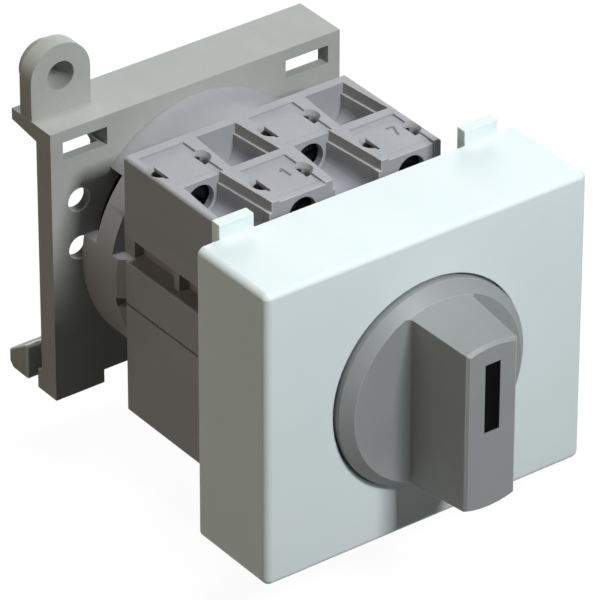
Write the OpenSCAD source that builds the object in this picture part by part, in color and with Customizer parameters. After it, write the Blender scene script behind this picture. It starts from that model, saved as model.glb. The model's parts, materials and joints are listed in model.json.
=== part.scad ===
// Changeover cam switch, 1-0-2, for a 35 mm rail or a flat panel.
// Origin: centre of the flat rear face that seats on the rail, on the knob's axis.
// +Y points back into the rail, the knob faces -Y, +Z is up.
// Depths are measured forward from the rail seat, so a depth d lies at y = -d.

/* [Front cover] */
// Width of the front cover, three modules
cover_w = 52.5; // [50:0.5:60]
// Height of the front cover
cover_h = 45; // [43.5:0.5:50]
// Depth of the front cover
cover_d = 14.9; // [13:0.1:18]
// Wall of the front cover
cover_wall = 2; // [1.4:0.1:2.4]
// Radius of the cover's outer edges
cover_edge = 1.1; // [0.6:0.1:1.6]
// Distance from the stages to the cover's rear edge
cover_gap = 6.6; // [6:0.1:9]
// Distance of each snap tab from the middle
tab_x = 20; // [18:0.1:22.5]
// Width of a snap tab
tab_w = 5.5; // [3:0.1:6]
// Height of a snap tab above the cover
tab_rise = 2.1; // [1:0.1:3]
// Thickness of a snap tab
tab_t = 1.7; // [1:0.1:2.4]

/* [Knob] */
// Radius of the round skirt
skirt_r = 15.2; // [14.8:0.1:17]
// Height of the skirt in front of the cover
skirt_proud = 2.5; // [2:0.1:4]
// Bevel round the skirt's rim
skirt_bevel = 1.6; // [0.5:0.1:2]
// Depth of the round recess that the skirt turns in
recess_d = 1.2; // [0.6:0.1:1.6]
// Length of the bar handle at its front
handle_l = 25.4; // [22:0.1:26.4]
// Width of the handle at the skirt
handle_root_w = 10; // [9:0.1:12]
// Width of the handle at its front face
handle_w = 8.2; // [6.4:0.1:9]
// Radius of the fillet between handle and skirt
handle_fillet = 0.8; // [0.4:0.1:1.2]
// Bevel round the handle's front face
handle_bevel = 0.4; // [0.2:0.05:0.6]
// Distance of the handle's front face from the cover
handle_reach = 13.6; // [11:0.1:18]
// Width of the black inlay
inlay_w = 2.5; // [1.5:0.1:4]
// Length of the black inlay
inlay_l = 10.6; // [6:0.1:11]
// Depth of the inlay's pocket
inlay_d = 1.6; // [1:0.1:2]
// Height of the inlay's middle above the axis
inlay_z = 4.4; // [0:0.1:5]
// Radius of the knob's hub
hub_r = 6; // [5.6:0.1:7]
// Width of the spring clip in the knob's socket
knob_clip_w = 4; // [3:0.1:4.4]
// Thickness of the spring clip in the knob's socket
knob_clip_t = 0.8; // [0.4:0.05:0.9]

/* [Contact stages] */
// Width of the stages
stage_w = 36.8; // [36.6:0.1:40]
// Height of the stages
stage_h = 40.2; // [39.8:0.1:44]
// Depth of one stage
stage_d = 10.5; // [10.3:0.1:13]
// Thickness of a stage's floor
stage_floor = 1.5; // [1.2:0.1:1.8]
// Thickness of a stage's lid
lid_t = 1.2; // [0.8:0.1:1.4]
// Side wall beside a lid
side_wall = 1.2; // [0.9:0.1:1.4]
// Distance between two terminal columns
column_pitch = 9; // [8.9:0.05:9.1]
// Height of the terminal screws above the axis
terminal_z = 16.8; // [16.6:0.05:17]
// Half width of a terminal's roof between its wire slots
roof_half = 2.9; // [2.4:0.1:3]
// Radius of the screwdriver hole in front of a terminal screw
access_r = 2.2; // [1.6:0.1:2.3]
// Radius of a scoop at its front
scoop_front_r = 3.6; // [3.2:0.05:3.7]
// Radius of a scoop at its rear
scoop_rear_r = 2.7; // [2.4:0.05:3]
// Width of the ledge along a scoop's flanks
ledge_w = 0.4; // [0.2:0.05:0.5]
// Depth of the ledge below the roof
ledge_d = 1.6; // [1:0.1:2]
// Depth of the sunk pad on a terminal's roof
pad_sink = 0.35; // [0.2:0.05:0.4]
// Radius of a wire entry
entry_r = 1.5; // [1.2:0.05:1.6]
// Widening of a wire entry at the roof
entry_flare = 0.4; // [0.2:0.05:0.5]
// Height of the channel along the side wall
channel_h = 4.2; // [3:0.1:4.4]
// Depth of the channel along the side wall
channel_d = 3; // [0.6:0.1:3.2]
// Height of the channel's middle above the axis
channel_z = 5.9; // [5.7:0.1:6.5]

/* [Terminals and contacts] */
// Thickness of the fixed contacts
contact_t = 1; // [0.8:0.05:1.1]
// Height of the terminal tongues above a stage's floor
tongue_lift = 2.4; // [2:0.05:2.4]
// Width of a terminal tongue
tongue_w = 4.4; // [4:0.1:4.6]
// Radius of a terminal screw's shank
terminal_screw_r = 1.45; // [1.2:0.05:1.6]
// Radius of a terminal screw's head
terminal_head_r = 2.2; // [2.1:0.05:2.4]
// Width of a clamp plate
clamp_w = 7.4; // [6:0.1:7.6]
// Height of a clamp plate
clamp_h = 4.6; // [4.4:0.05:4.8]
// Thickness of a clamp plate
clamp_t = 0.8; // [0.6:0.05:1]
// Room for a wire between tongue and clamp plate
wire_gap = 1.7; // [1.4:0.1:1.8]
// Radius of a contact tip
tip_r = 1.5; // [1.2:0.05:1.6]
// Height of a contact tip
tip_t = 0.6; // [0.4:0.05:0.7]
// Height of the contact tips above the axis
tip_z = 7.6; // [7.4:0.05:7.8]
// Thickness of a contact bridge
bridge_t = 0.8; // [0.6:0.05:0.9]
// Width of a contact bridge
bridge_w = 4; // [3.4:0.1:4.4]

/* [Cams and shaft] */
// Width across the square shaft
shaft_af = 6; // [5.6:0.05:6]
// Mean radius of a cam
cam_r = 6; // [5.9:0.05:6.1]
// Travel of a plunger from off to fully on
cam_lift = 1.2; // [1:0.05:1.25]
// Turn of the knob from off to each side
turn = 60; // [45:1:60]
// Thickness of a cam's track
cam_t = 5; // [4:0.1:5.2]
// Radius of the cams' and detent wheel's journals
journal_r = 4.35; // [4.3:0.01:4.4]
// Distance from the axis to a contact bridge at rest
bridge_x = 11; // [10.9:0.05:11.2]
// Height of a plunger's head
plunger_h = 7.2; // [6:0.1:7.3]
// Radius of a plunger's nose
nose_r = 2; // [1.6:0.1:2.2]
// Radius of a plunger's stem
stem_r = 1.3; // [1:0.05:1.4]
// Mean radius of a contact spring
spring_r = 1.9; // [1.8:0.05:2]
// Wire of a contact spring
spring_wire = 0.5; // [0.4:0.05:0.55]

/* [Detent] */
// Radius of the round latch housing
latch_r = 19.3; // [18.8:0.1:20.4]
// Depth of the latch housing
latch_d = 9; // [8.6:0.1:12]
// Front wall of the latch housing
latch_wall = 1.8; // [1.4:0.1:2]
// Width of the window in the detent housing's side
window_w = 9; // [5:0.1:9.4]
// Depth of that window, from the base plate forwards
window_d = 2.8; // [1.5:0.1:3]
// Radius of the detent wheel over its lobes
star_r = 7.5; // [7.3:0.05:7.6]
// Radius of a notch in the detent wheel
notch_r = 2.2; // [2:0.05:2.3]
// Distance of the notches' centres from the axis
notch_at = 8.5; // [8.4:0.05:8.6]
// Thickness of the notched layer
star_t = 3.6; // [3:0.1:3.8]
// Reach of the stop finger
finger_l = 12.4; // [11.6:0.1:12.6]
// Thickness of the stop finger
finger_t = 1.8; // [1.4:0.1:2]
// Thickness of the leaf springs
leaf_t = 0.5; // [0.3:0.05:0.6]

/* [Base plate] */
// Width of the base plate
plate_w = 48.1; // [47:0.1:50]
// Half height of the base plate
plate_top = 21.05; // [20.8:0.05:22]
// Thickness of the base plate from its seat forward
plate_t = 3.4; // [3:0.1:4]
// Front wall of the base plate
plate_wall = 1.6; // [1.3:0.1:1.8]
// Thickness of the rim and the ribs
rim_t = 1.2; // [1:0.1:1.2]
// Depth of the hooks behind the rail seat
hook_d = 5.7; // [5:0.1:6.5]
// Distance of a lug hole from the plate's side edge
lug_inset = 4.85; // [4.85:0.05:6]
// Height of a lug hole above the axis
lug_z = 26.6; // [26:0.1:28]
// Outer radius of a lug
lug_r = 4.8; // [4:0.1:4.8]
// Radius of a lug hole
lug_hole_r = 2.15; // [1.8:0.05:2.3]
// Thickness of the upper lug
lug_t = 2.7; // [2.2:0.1:2.9]
// Length of the marker slots
slot_l = 7.2; // [5:0.1:7.4]
// Width of the marker slots
slot_w = 2.8; // [1.4:0.1:2.8]
// Distance of the marker slots' middle from the plate's top edge
slot_inset = 3.2; // [3.1:0.05:3.6]
// Radius of the round holes beside the latch housing
side_hole_r = 1.8; // [1.4:0.05:1.85]
// Distance of the round side holes from the plate's side edge
side_hole_inset = 4.45; // [3.2:0.05:4.6]
// Step between the rail seat and the ribs round it
seat_step = 0.3; // [0.1:0.05:0.4]

/* [Rail latch] */
// Width of the rail
rail_w = 35; // [35:0.1:35.2]
// Thickness of the rail's flange
rail_t = 1; // [0.9:0.05:1.1]
// Travel of the rail latch
latch_travel = 3.4; // [3.3:0.05:3.4]
// Width of a leg of the rail latch
leg_w = 3; // [2.4:0.1:3]
// How far the rail latch stands out at each side of the plate
latch_ear = 1.5; // [0.2:0.1:2]
// Wire of the rail latch's springs
zigzag_w = 0.6; // [0.4:0.05:0.7]

/* [Tie screws] */
// Distance of the tie screws from the axis
tie_z = 11.2; // [11.1:0.05:11.3]
// Radius of a tie screw's shank
tie_r = 1.45; // [1.3:0.05:1.5]
// Radius of a tie screw's head
tie_head_r = 2.6; // [2.4:0.05:2.75]
// Width across a nut
nut_af = 5.5; // [5.2:0.1:5.6]

/* [Fits] */
// Radial clearance of a journal in its bore
run_gap = 0.05; // [0.03:0.01:0.08]
// Clearance of flat sliding faces
slide_gap = 0.1; // [0.08:0.01:0.15]
// Clearance of a piece in its seat
seat_gap = 0.1; // [0.08:0.01:0.15]
// Clearance between a cam and a plunger
cam_gap = 0.2; // [0.15:0.01:0.25]
// Clearance round turning parts
turn_gap = 0.3; // [0.25:0.01:0.4]
// Gap left between closed contact tips
touch_gap = 0.1; // [0.08:0.01:0.15]

/* [Hidden] */
$fn = 64;
eps = 0.01;
over = 1;

plate_colour = "#c3c6c0";
housing_colour = "#aeb0b3";
cover_colour = "#eaf3f0";
knob_colour = "#8f9191";
copper_colour = "#c98a5a";
brass_colour = "#c9a94a";
steel_colour = "#b8bcc0";

// Depths of the stack, from the rail seat forward
rear_stage_at = plate_t + latch_d;
front_stage_at = rear_stage_at + stage_d;
frame_at = front_stage_at + stage_d;
cover_at = frame_at + cover_gap;
cover_front = cover_at + cover_d;
knob_front = cover_front + handle_reach;

// Stage interior, in depths from the stage's own rear face
stage_inner = stage_d - lid_t;
cam_max_r = cam_r + cam_lift;
cam_room_r = cam_max_r + 0.4;
mid_depth = (stage_floor + stage_inner) / 2;
plunger_t = stage_inner - stage_floor - 2 * slide_gap;
nose_x = cam_r + cam_gap;
head_x = bridge_x - 0.6;
plunger_root_x = nose_x + nose_r;
fixed_tip_x = bridge_x - tip_t - cam_lift - touch_gap;
riser_x = fixed_tip_x - tip_t - contact_t;
bridge_half = tip_z + tip_r + 0.2;
bridge_room_x = bridge_x + bridge_t + cam_lift + 0.3;
stem_end_x = bridge_x + 3.6;
spring_seat_x = stage_w / 2 - 1.4;
tongue_depth = stage_floor + tongue_lift;
bar_z = bridge_half + 1.1;
tongue_top_z = terminal_z + clamp_h / 2;
room_half = clamp_w / 2 + 0.3;
room_h = clamp_h + 2 * seat_gap;
wire_depth = tongue_depth + contact_t + wire_gap / 2;
clamp_depth = tongue_depth + contact_t + wire_gap;
screw_head_depth = clamp_depth + clamp_t;
screw_head_t = stage_inner - screw_head_depth - 0.15;
terminal_columns = [-1.5 * column_pitch, 0.5 * column_pitch];
scoop_columns = [-0.5 * column_pitch, 1.5 * column_pitch];

// Detent, in depths from the rail seat
bearing_depth = 2.2;
wheel_rear = plate_t - bearing_depth + 0.2;
star_at = plate_t + 0.6;
finger_at = star_at + star_t + 0.3;
boss_r = 2.6;
finger_half = tie_z * sin(90 - turn) - boss_r - 0.15;
notch_x = notch_at - notch_r;
leaf_x = 12.9;
leaf_z = 9.2;
leaf_w = star_t - 0.6;

// Rail latch
band_half = 6.9;
leg_x = band_half + 0.15;
leg_out = leg_x + leg_w;
leg_t = plate_t - plate_wall - 0.3;
leg_top = -4.2;
latch_bar_h = 1.7;
spring_room = 8;
latch_lip_top = -rail_w / 2 + 3.3;
corner_foot_w = 8;
lug_x = plate_w / 2 - lug_inset;
seat_low = latch_lip_top + 0.2;

// Turning a drawing in x and z into a solid that grows forward from depth d
module deep(d) { translate([0, -d, 0]) rotate([90, 0, 0]) children(); }
// Turning a drawing in depth and z into a solid that grows along X from x0
module across(x0) { translate([x0, 0, 0]) rotate([90, 0, 90]) children(); }
function depth_z(p) = [for (q = p) [-q[0], q[1]]];

module rounded(w, h, r) {
    square([w - 2 * r, h], center = true);
    square([w, h - 2 * r], center = true);
    for (x = [-1, 1], y = [-1, 1]) translate([x * (w / 2 - r), y * (h / 2 - r)]) circle(r, $fn = 24);
}

module hexagon(af) { circle(af / sqrt(3), $fn = 6); }

// A strip of even thickness along a bent line, with mitred corners
function unit(v) = v / norm(v);
function turned_left(v) = [-v[1], v[0]];
function corner_shift(p, i, t) =
    let (into = unit(i > 0 ? p[i] - p[i - 1] : p[1] - p[0]),
         onward = i < len(p) - 1 ? unit(p[i + 1] - p[i]) : into,
         across = unit(turned_left(into + onward)))
    across * t / 2 / (across * turned_left(into));
module strip(points, t) {
    n = len(points);
    polygon(concat([for (i = [0 : n - 1]) points[i] + corner_shift(points, i, t)],
                   [for (i = [n - 1 : -1 : 0]) points[i] - corner_shift(points, i, t)]));
}

// Wire wound round local z, drawn as one swept tube
module coil(r, wire, length, turns) {
    sides = 6;
    steps = 14;
    rings = round(turns * steps);
    points = [for (i = [0 : rings], j = [0 : sides - 1])
        let (a = 360 * i / steps, b = 360 * j / sides,
             z = wire / 2 + (length - wire) * i / rings, s = r + wire / 2 * cos(b))
        [s * cos(a), s * sin(a), z + wire / 2 * sin(b)]];
    walls = [for (i = [0 : rings - 1], j = [0 : sides - 1])
        let (k = (j + 1) % sides)
        [i * sides + j, (i + 1) * sides + j, (i + 1) * sides + k, i * sides + k]];
    rear = [for (j = [0 : sides - 1]) j];
    front = [for (j = [sides - 1 : -1 : 0]) rings * sides + j];
    polyhedron(points = points, faces = concat([rear, front], walls), convexity = 8);
}

// Base plate: front wall, rim and ribs, hooks for the rail, two screw lugs
module plate_outline() {
    translate([-plate_w / 2, -plate_top + 2.05]) square([plate_w, 2 * plate_top - 2.05]);
    for (s = [-1, 1])
        translate([s * (plate_w / 2 - corner_foot_w / 2), -plate_top + corner_foot_w / 2])
            square(corner_foot_w, center = true);
}

module plate_ribs() {
    difference() {
        plate_outline();
        translate([-plate_w / 2 + rim_t, -plate_top + corner_foot_w - 4.9])
            square([plate_w - 2 * rim_t, 2 * plate_top - corner_foot_w + 4.9 - rim_t]);
        translate([-plate_w / 2 + corner_foot_w, -plate_top - over])
            square([plate_w - 2 * corner_foot_w, corner_foot_w]);
    }
    for (s = [-1, 1]) {
        translate([s * (leg_out + 0.2 + rim_t / 2), -1]) square([rim_t, rail_w - 4], center = true);
        translate([s * (plate_w / 2 - corner_foot_w - 1.3), 4]) square([rim_t, 32], center = true);
    }
}

// The middle band is the rail seat; it steps down below the latch's lip and towards the side ribs
module rail_seat() {
    deep(0) linear_extrude(plate_t - plate_wall + eps)
        translate([-band_half, seat_low]) square([2 * band_half, rail_w / 2 - 1 - seat_low]);
    deep(seat_step) linear_extrude(plate_t - plate_wall - seat_step + eps) {
        translate([-band_half, 1 - rail_w / 2]) square([2 * band_half, seat_low - 1 + rail_w / 2 + eps]);
        for (s = [-1, 1]) translate([s * (leg_x + leg_w / 2), leg_top + spring_room + 1])
            square([leg_w + 1, 1.6], center = true);
    }
}

module lug(side, from, to) {
    deep(from) linear_extrude(to - from) difference() {
        union() {
            translate([side * lug_x, side * -lug_z]) circle(lug_r);
            translate([side * lug_x, side * -(lug_z + plate_top - 1) / 2])
                square([2 * lug_r, lug_z - plate_top + 1], center = true);
        }
        translate([side * lug_x, side * -lug_z]) circle(lug_hole_r);
    }
}

module lug_boss(side, from) {
    deep(-hook_d) linear_extrude(hook_d + from) difference() {
        translate([side * lug_x, side * -lug_z]) circle(lug_hole_r + 1.4);
        translate([side * lug_x, side * -lug_z]) circle(lug_hole_r);
    }
}

module base_plate() color(plate_colour) {
    lug_front = -hook_d + 2 + lug_t;
    difference() {
        union() {
            deep(plate_t - plate_wall) linear_extrude(plate_wall) plate_outline();
            deep(0) linear_extrude(plate_t - plate_wall + eps) plate_ribs();
            rail_seat();
            across(-plate_w / 2) linear_extrude(plate_w)
                polygon(depth_z([[eps, plate_top - 2.5], [eps, plate_top], [-hook_d, plate_top],
                                 [-hook_d, plate_top - 1.7]]));
            for (s = [-1, 1]) {
                across(s * 10.5 - 3.5) linear_extrude(7)
                    polygon(depth_z([[-rail_t - 0.25, plate_top - 1], [-hook_d + 2, plate_top - 1],
                                     [-hook_d + 2.4, rail_w / 2 - 2.2], [-rail_t - 0.9, rail_w / 2 - 3.2],
                                     [-rail_t - 0.25, rail_w / 2 - 2.4]]));
                across(s * 10.5 - 3.5) linear_extrude(7)
                    polygon(depth_z([[eps, rail_w / 2 + 0.1], [eps, plate_top - 1],
                                     [-rail_t - 0.3, plate_top - 1], [-rail_t - 0.3, rail_w / 2 + 0.1]]));
                translate([s * (leg_out + 0.1), 0.45 - eps / 2, -6.5])
                    cube([2.4, 0.9 + eps, 3], center = true);
                translate([s * (plate_w / 2 - corner_foot_w / 2) - corner_foot_w / 2, -eps, -plate_top])
                    cube([corner_foot_w, rail_t + eps, 3]);
            }
            lug(-1, -hook_d + 2, lug_front);
            lug_boss(-1, -2 + eps);
            lug(1, plate_t - lug_t, plate_t);
            lug_boss(1, plate_t - lug_t + eps);
        }
        // Bearing for the detent wheel, blind from the front
        deep(plate_t - bearing_depth) cylinder(r = journal_r + run_gap, h = bearing_depth + over);
        for (s = [-1, 1]) {
            deep(-over) translate([0, s * tie_z, 0])
                cylinder(r = tie_r + seat_gap, h = plate_t + 2 * over, $fn = 32);
            deep(-over) translate([0, s * tie_z, 0]) rotate(30)
                linear_extrude(over + plate_t - plate_wall) hexagon(nut_af + 2 * seat_gap);
            deep(0) translate([s * (plate_w / 2 - 2 - slot_l / 2), plate_top - slot_inset, -over])
                linear_extrude(plate_t + 2 * over) square([slot_l, slot_w], center = true);
            for (z = [2, 9.5]) deep(0) translate([s * (plate_w / 2 - side_hole_inset), z, -over])
                cylinder(r = side_hole_r, h = plate_t + 2 * over, $fn = 32);
        }
    }
}

// Rail latch: a bar whose lip grips behind the rail, on two legs, with a pull eye
module rail_latch() color(plate_colour) {
    seat = -rail_w / 2 - 0.2;
    low = seat - latch_bar_h;
    bar_w = 2 * (min(plate_w / 2 - corner_foot_w, lug_x - lug_r) - 0.3);
    difference() {
        union() {
            for (s = [-1, 1]) translate([s * (leg_x + leg_w / 2), -0.15 - leg_t / 2, (leg_top + low) / 2])
                cube([leg_w - 2 * slide_gap, leg_t, leg_top - low], center = true);
            translate([-bar_w / 2, -0.15 - leg_t, low]) cube([bar_w, leg_t + rail_t + 0.55, latch_bar_h]);
            across(-plate_w / 2 - latch_ear) linear_extrude(plate_w + 2 * latch_ear)
                polygon(depth_z([[-rail_t - 0.25, low], [-rail_t - 0.25, latch_lip_top],
                                 [-rail_t - 1, latch_lip_top], [-hook_d, latch_lip_top - 2.4],
                                 [-hook_d, low + 0.8], [-hook_d + 0.8, low]]));
            translate([-4.5, -0.15 - leg_t, low - 4.7]) cube([9, leg_t + rail_t + 0.55, 5]);
        }
        translate([-2.6, -plate_t, low - 3.4]) cube([5.2, 2 * plate_t, 1.8]);
    }
}

module rail_latch_springs() color(steel_colour) {
    folds = 6;
    half = leg_w / 2 - 0.7;
    step = (spring_room - zigzag_w - 0.2) / folds;
    path = [for (i = [0 : folds]) [(i % 2 == 0 ? -1 : 1) * half, i * step]];
    for (s = [-1, 1]) deep(0.35) translate([s * (leg_x + leg_w / 2), leg_top + 0.1 + zigzag_w / 2, 0])
        linear_extrude(leg_t - 0.4) strip(path, zigzag_w);
}

// Round housing of the detent, open to the base plate
module leaf_seats() {
    for (x = [-1, 1], z = [-1, 1])
        translate([x * leaf_x, z * (leaf_z - 0.3)]) square([3.4, 3.4], center = true);
}

module latch_housing() color(housing_colour) {
    inner = latch_r - 2;
    difference() {
        union() {
            difference() {
                union() {
                    deep(plate_t) cylinder(r = latch_r, h = latch_d - 1, $fn = 128);
                    deep(rear_stage_at - 1 - eps)
                        cylinder(r1 = latch_r, r2 = latch_r - 1, h = 1 + eps, $fn = 128);
                }
                deep(plate_t - over) cylinder(r = inner, h = latch_d - latch_wall + over, $fn = 96);
            }
            intersection() {
                deep(plate_t) cylinder(r = inner + 0.5, h = latch_d);
                union() {
                    deep(plate_t) linear_extrude(latch_d - 0.1) for (s = [-1, 1])
                        translate([0, s * tie_z]) circle(boss_r);
                    deep(star_at) linear_extrude(latch_d - 1) leaf_seats();
                }
            }
        }
        deep(plate_t) cylinder(r = journal_r + run_gap, h = latch_d + over);
        for (s = [-1, 1]) {
            deep(plate_t - over) translate([0, s * tie_z, 0])
                cylinder(r = tie_r + seat_gap, h = latch_d + 2 * over, $fn = 32);
            deep(star_at - over) for (z = [-1, 1]) translate([s * leaf_x, z * (leaf_z - 1.2), 0])
                linear_extrude(leaf_w + over + 0.4) square([leaf_t + 2 * seat_gap, 3.2], center = true);
            // Notch behind the stages' side channel, and a small one at the parting line
            deep(rear_stage_at - 2.4) translate([s * (stage_w / 2 + 0.6), -s * (channel_z + 0.9), 0])
                linear_extrude(2.4 + over) square([4.2, 6], center = true);
            deep(rear_stage_at - 1.4) translate([s * (stage_w / 2 + 0.6), s * 2.9, 0])
                linear_extrude(1.4 + over) square([3, 1.4], center = true);
            // Window in the side wall, where the wall meets the base plate
            deep(plate_t - over) linear_extrude(window_d + over) intersection() {
                difference() {
                    circle(latch_r + 1, $fn = 128);
                    circle(inner - 0.4, $fn = 96);
                }
                translate([s * latch_r, -s * 8.3]) square([14, window_w], center = true);
            }
        }
    }
}

// Detent wheel: journals, six notches and the stop finger
module detent_wheel() color(knob_colour) {
    difference() {
        union() {
            deep(wheel_rear) cylinder(r = journal_r, h = star_at - wheel_rear + eps);
            deep(star_at) linear_extrude(star_t) difference() {
                circle(star_r);
                for (i = [0 : 5]) rotate(60 * i) translate([notch_at, 0]) circle(notch_r, $fn = 48);
            }
            deep(star_at + star_t - eps)
                cylinder(r = notch_x - 0.1, h = finger_at + finger_t - star_at - star_t);
            deep(finger_at) linear_extrude(finger_t) intersection() {
                circle(finger_l);
                translate([0, -finger_half]) square([finger_l, 2 * finger_half]);
            }
            deep(finger_at + finger_t - 2 * eps)
                cylinder(r = journal_r, h = rear_stage_at - 0.1 - finger_at - finger_t);
        }
        deep(wheel_rear + 0.6) linear_extrude(latch_d + plate_t)
            square(shaft_af + 2 * run_gap, center = true);
    }
}

module leaf_spring(side) color(steel_colour) {
    tip = notch_x + 0.25 + leaf_t / 2;
    deep(star_at + 0.3) linear_extrude(leaf_w) strip([
        [side * leaf_x, leaf_z], [side * leaf_x, leaf_z - 2.2], [side * (tip + 1.5), 1.6], [side * tip, 0],
        [side * (tip + 1.5), -1.6], [side * leaf_x, -leaf_z + 2.2], [side * leaf_x, -leaf_z]], leaf_t);
}

module left_leaf_spring() leaf_spring(-1);
module right_leaf_spring() leaf_spring(1);

// A scoop: a funnel for the screwdriver, open to the outside of the stage, with a ledge on each flank
function scoop_r(d) = scoop_rear_r + (scoop_front_r - scoop_rear_r) * d / stage_d;

module scoop_mouth(x, z, from, low, wider) {
    high = stage_h / 2 + over;
    small = scoop_r(from) + wider;
    large = scoop_r(stage_d + over) + wider;
    translate([x, (z > 0 ? high : -low), 0]) rotate([90, 0, 0]) linear_extrude(high - low)
        polygon([[-small, from], [small, from], [large, stage_d + over], [-large, stage_d + over]]);
}

module scoop(x, z, from) {
    translate([x, z * terminal_z, from])
        cylinder(r1 = scoop_r(from), r2 = scoop_r(stage_d + over), h = stage_d + over - from, $fn = 48);
    scoop_mouth(x, z, from, terminal_z, 0);
    scoop_mouth(x, z, from, stage_h / 2 - ledge_d, ledge_w);
}

// The space inside one terminal block, with a half-round wire entry through the roof on each side
module terminal_room(x, z) {
    low = terminal_z - room_h / 2;
    translate([x - room_half, (z > 0 ? low : -low - room_h), tongue_depth - 0.1])
        cube([2 * room_half, room_h, stage_inner - tongue_depth + 0.1 + eps]);
    translate([x, z * terminal_z, tongue_depth - 1.9]) cylinder(r = terminal_screw_r + 0.3, h = 3, $fn = 32);
    rise = stage_h / 2 - terminal_z;
    for (s = [-1, 1]) intersection() {
        translate([x + s * roof_half, z * terminal_z, wire_depth]) rotate([-90 * z, 0, 0]) union() {
            cylinder(r = entry_r, h = rise + over, $fn = 32);
            translate([0, 0, rise - 2 * entry_flare])
                cylinder(r1 = entry_r, r2 = entry_r + entry_flare + over / 2,
                         h = 2 * entry_flare + over, $fn = 32);
        }
        translate([x + (s > 0 ? roof_half : -roof_half - 3), -stage_h, 0]) cube([3, 2 * stage_h, stage_d]);
    }
}

// The pad on a terminal's roof, sunk inside a rim and open to the front
module roof_pad(x, z) {
    translate([x - room_half + 0.3, (z > 0 ? stage_h / 2 - pad_sink : -stage_h / 2 - over), stage_floor])
        cube([2 * room_half - 0.6, pad_sink + over, stage_d]);
}

// The pocket of one fixed contact, from its riser to its terminal
module contact_shape(side, column, grow) {
    x_in = riser_x - 0.6;
    x_out = riser_x + contact_t;
    left = min(side > 0 ? x_in : -x_out, column - tongue_w / 2);
    right = max(side > 0 ? x_out : -x_in, column + tongue_w / 2);
    translate([(side > 0 ? x_in : -x_out) - grow, tip_z - tip_r - grow])
        square([x_out - x_in + 2 * grow, bar_z + 1.7 - tip_z + tip_r + 2 * grow]);
    translate([left - grow, bar_z - grow]) square([right - left + 2 * grow, 1.9 + 2 * grow]);
    translate([column - tongue_w / 2 - grow, bar_z - grow])
        square([tongue_w + 2 * grow, tongue_top_z - bar_z + 2 * grow]);
}

// The rear stage's scoops end at its floor, and the front stage's go right through it
module stage_base(at, turned, scoop_from) color(housing_colour) deep(at) rotate(turned) difference() {
    linear_extrude(stage_d) rounded(stage_w, stage_h, 0.5);
    translate([0, 0, stage_inner]) linear_extrude(lid_t + over)
        square([stage_w - 2 * side_wall, stage_h + over], center = true);
    translate([0, 0, -over]) cylinder(r = journal_r + run_gap, h = stage_d);
    translate([0, 0, stage_floor]) cylinder(r = cam_room_r, h = stage_d);
    for (x = [-1, 1]) {
        // Guide of the plunger
        translate([x > 0 ? 0 : -bridge_room_x, -plunger_h / 2 - slide_gap, stage_floor])
            cube([bridge_room_x, plunger_h + 2 * slide_gap, stage_d]);
        // Room for the bridge and the contact tips
        translate([x > 0 ? riser_x - 0.1 : -bridge_room_x, 0, mid_depth - bridge_w / 2 - 0.2])
            translate([0, -bridge_half - 0.3, 0])
                cube([bridge_room_x - riser_x + 0.1, 2 * bridge_half + 0.6, stage_d]);
        // Seat of the contact spring
        translate([x * (bridge_room_x - 1), 0, mid_depth]) rotate([0, 90 * x, 0])
            cylinder(r = spring_r + spring_wire / 2 + 0.2, h = spring_seat_x - bridge_room_x + 1, $fn = 48);
        for (z = [-1, 1]) mirror([0, z > 0 ? 0 : 1, 0]) translate([0, 0, tongue_depth - 0.1])
            linear_extrude(stage_d) contact_shape(x, terminal_columns[x > 0 ? 1 : 0], seat_gap);
        // Channel and parting line along the side
        translate([x * stage_w / 2, -x * channel_z, stage_d / 2])
            cube([2 * channel_d, channel_h, stage_d + 2 * over], center = true);
        translate([x * stage_w / 2, x * 2.8, stage_d / 2])
            cube([0.7, 0.35, stage_d + 2 * over], center = true);
    }
    for (z = [-1, 1]) {
        translate([0, z * tie_z, -over]) cylinder(r = tie_r + seat_gap, h = stage_d + 2 * over, $fn = 32);
        for (x = terminal_columns) {
            terminal_room(x, z);
            roof_pad(x, z);
        }
        for (x = scoop_columns) scoop(x, z, scoop_from);
    }
}

module stage_lid(at, turned) color(housing_colour) deep(at) rotate(turned) difference() {
    translate([0, 0, stage_inner]) linear_extrude(lid_t)
        square([stage_w - 2 * side_wall - 2 * seat_gap, stage_h], center = true);
    translate([0, 0, stage_inner - over]) cylinder(r = journal_r + run_gap, h = lid_t + 2 * over);
    for (z = [-1, 1]) {
        translate([0, z * tie_z, stage_inner - over])
            cylinder(r = tie_r + seat_gap, h = lid_t + 2 * over, $fn = 32);
        for (x = terminal_columns) translate([x, z * terminal_z, stage_inner - over])
            cylinder(r = access_r, h = lid_t + 2 * over, $fn = 48);
        for (x = terminal_columns) roof_pad(x, z);
        for (x = scoop_columns) scoop(x, z, stage_floor);
        // The lid ends at the outer scoop
        translate([scoop_columns[1], z > 0 ? terminal_z - 1.5 : -stage_h, 0])
            cube([stage_w, stage_h - terminal_z + 1.5, stage_d + over]);
    }
}

module rear_stage_base() stage_base(rear_stage_at, 0, stage_floor);
module rear_stage_lid() stage_lid(rear_stage_at, 0);
module front_stage_base() stage_base(front_stage_at, 180, -over);
module front_stage_lid() stage_lid(front_stage_at, 180);

// Cam: its radius rises evenly over the turn on each side of the right follower and falls on the left
function cam_profile(a) =
    let (m = a > 180 ? a - 360 : a, right = max(-turn, min(turn, m)),
         near = a - 180, left = max(-turn, min(turn, near)))
    cam_r + cam_lift * (abs(m) < 90 ? right / turn : -left / turn);

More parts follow.
